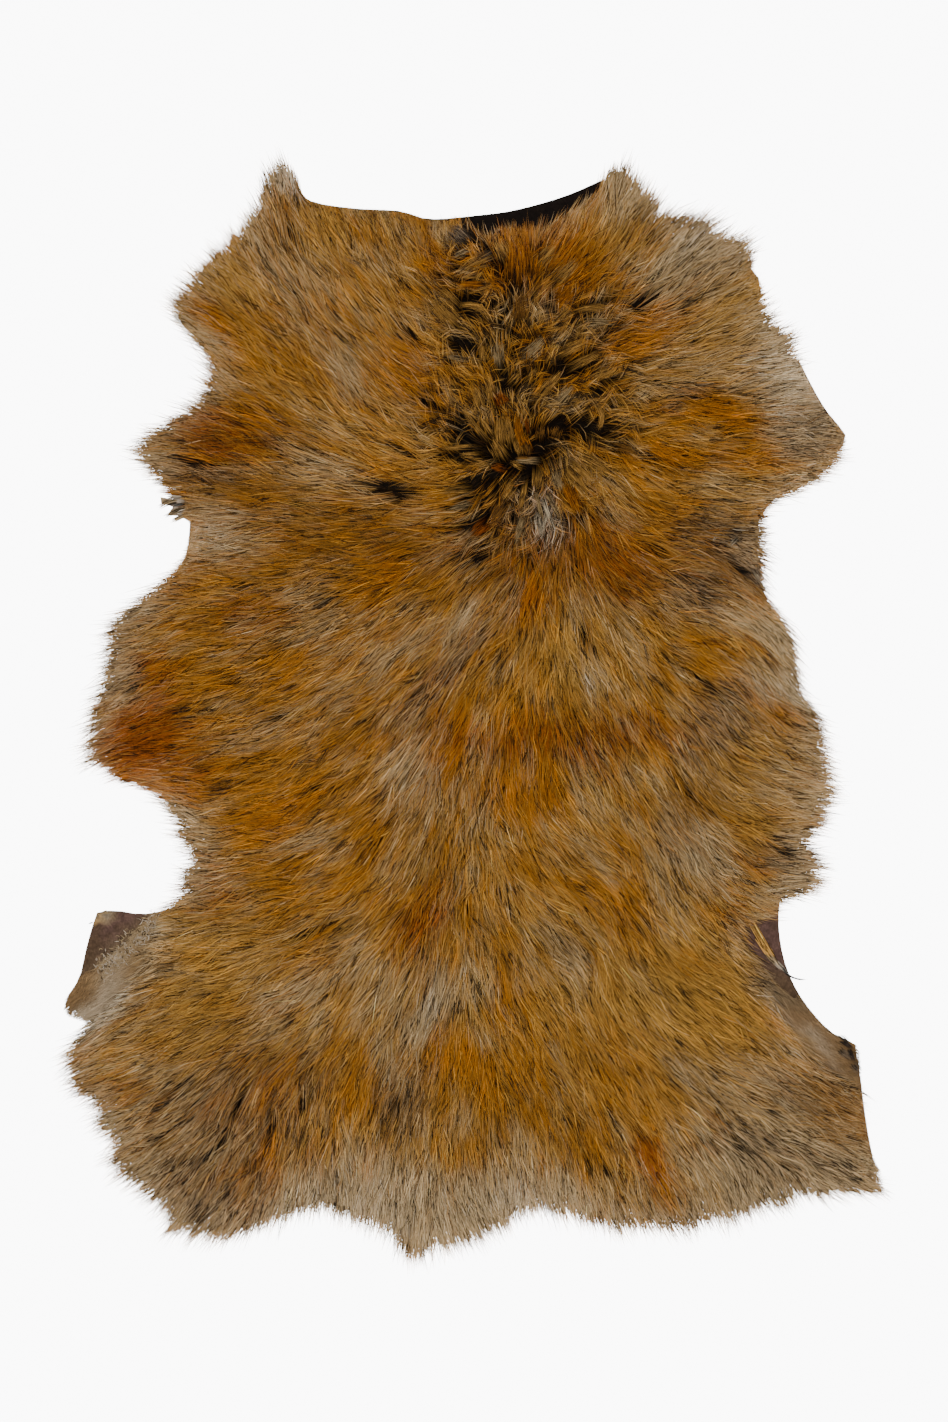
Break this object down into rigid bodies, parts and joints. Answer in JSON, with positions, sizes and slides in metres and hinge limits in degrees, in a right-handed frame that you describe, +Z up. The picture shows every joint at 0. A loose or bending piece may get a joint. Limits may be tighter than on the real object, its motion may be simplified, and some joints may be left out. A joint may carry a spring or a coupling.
{
  "type": "sheepskin rug",
  "caption": "Whole hair-on sheepskin lying flat, hair side up: a thin skin with a long combed coat of hair, tousled along the back, and a few bare patches at its edge.",
  "frame": {"origin": "bottom centre of the bounding box, on the flat underside of the skin", "axes": "+Y from the tail end to the neck end, +X to the right with the hair side up and the neck at the top, +Z up through the hair"},
  "size_m": [0.824, 1.102, 0.0411],
  "materials": {
    "leather": "dry dressed skin, matte",
    "hair": "long soft hair, tan to rust with grey-beige locks and dark roots"
  },
  "bodies": {
    "root": {"hide": "leather", "fleece": "hair"}
  },
  "joints": []
}
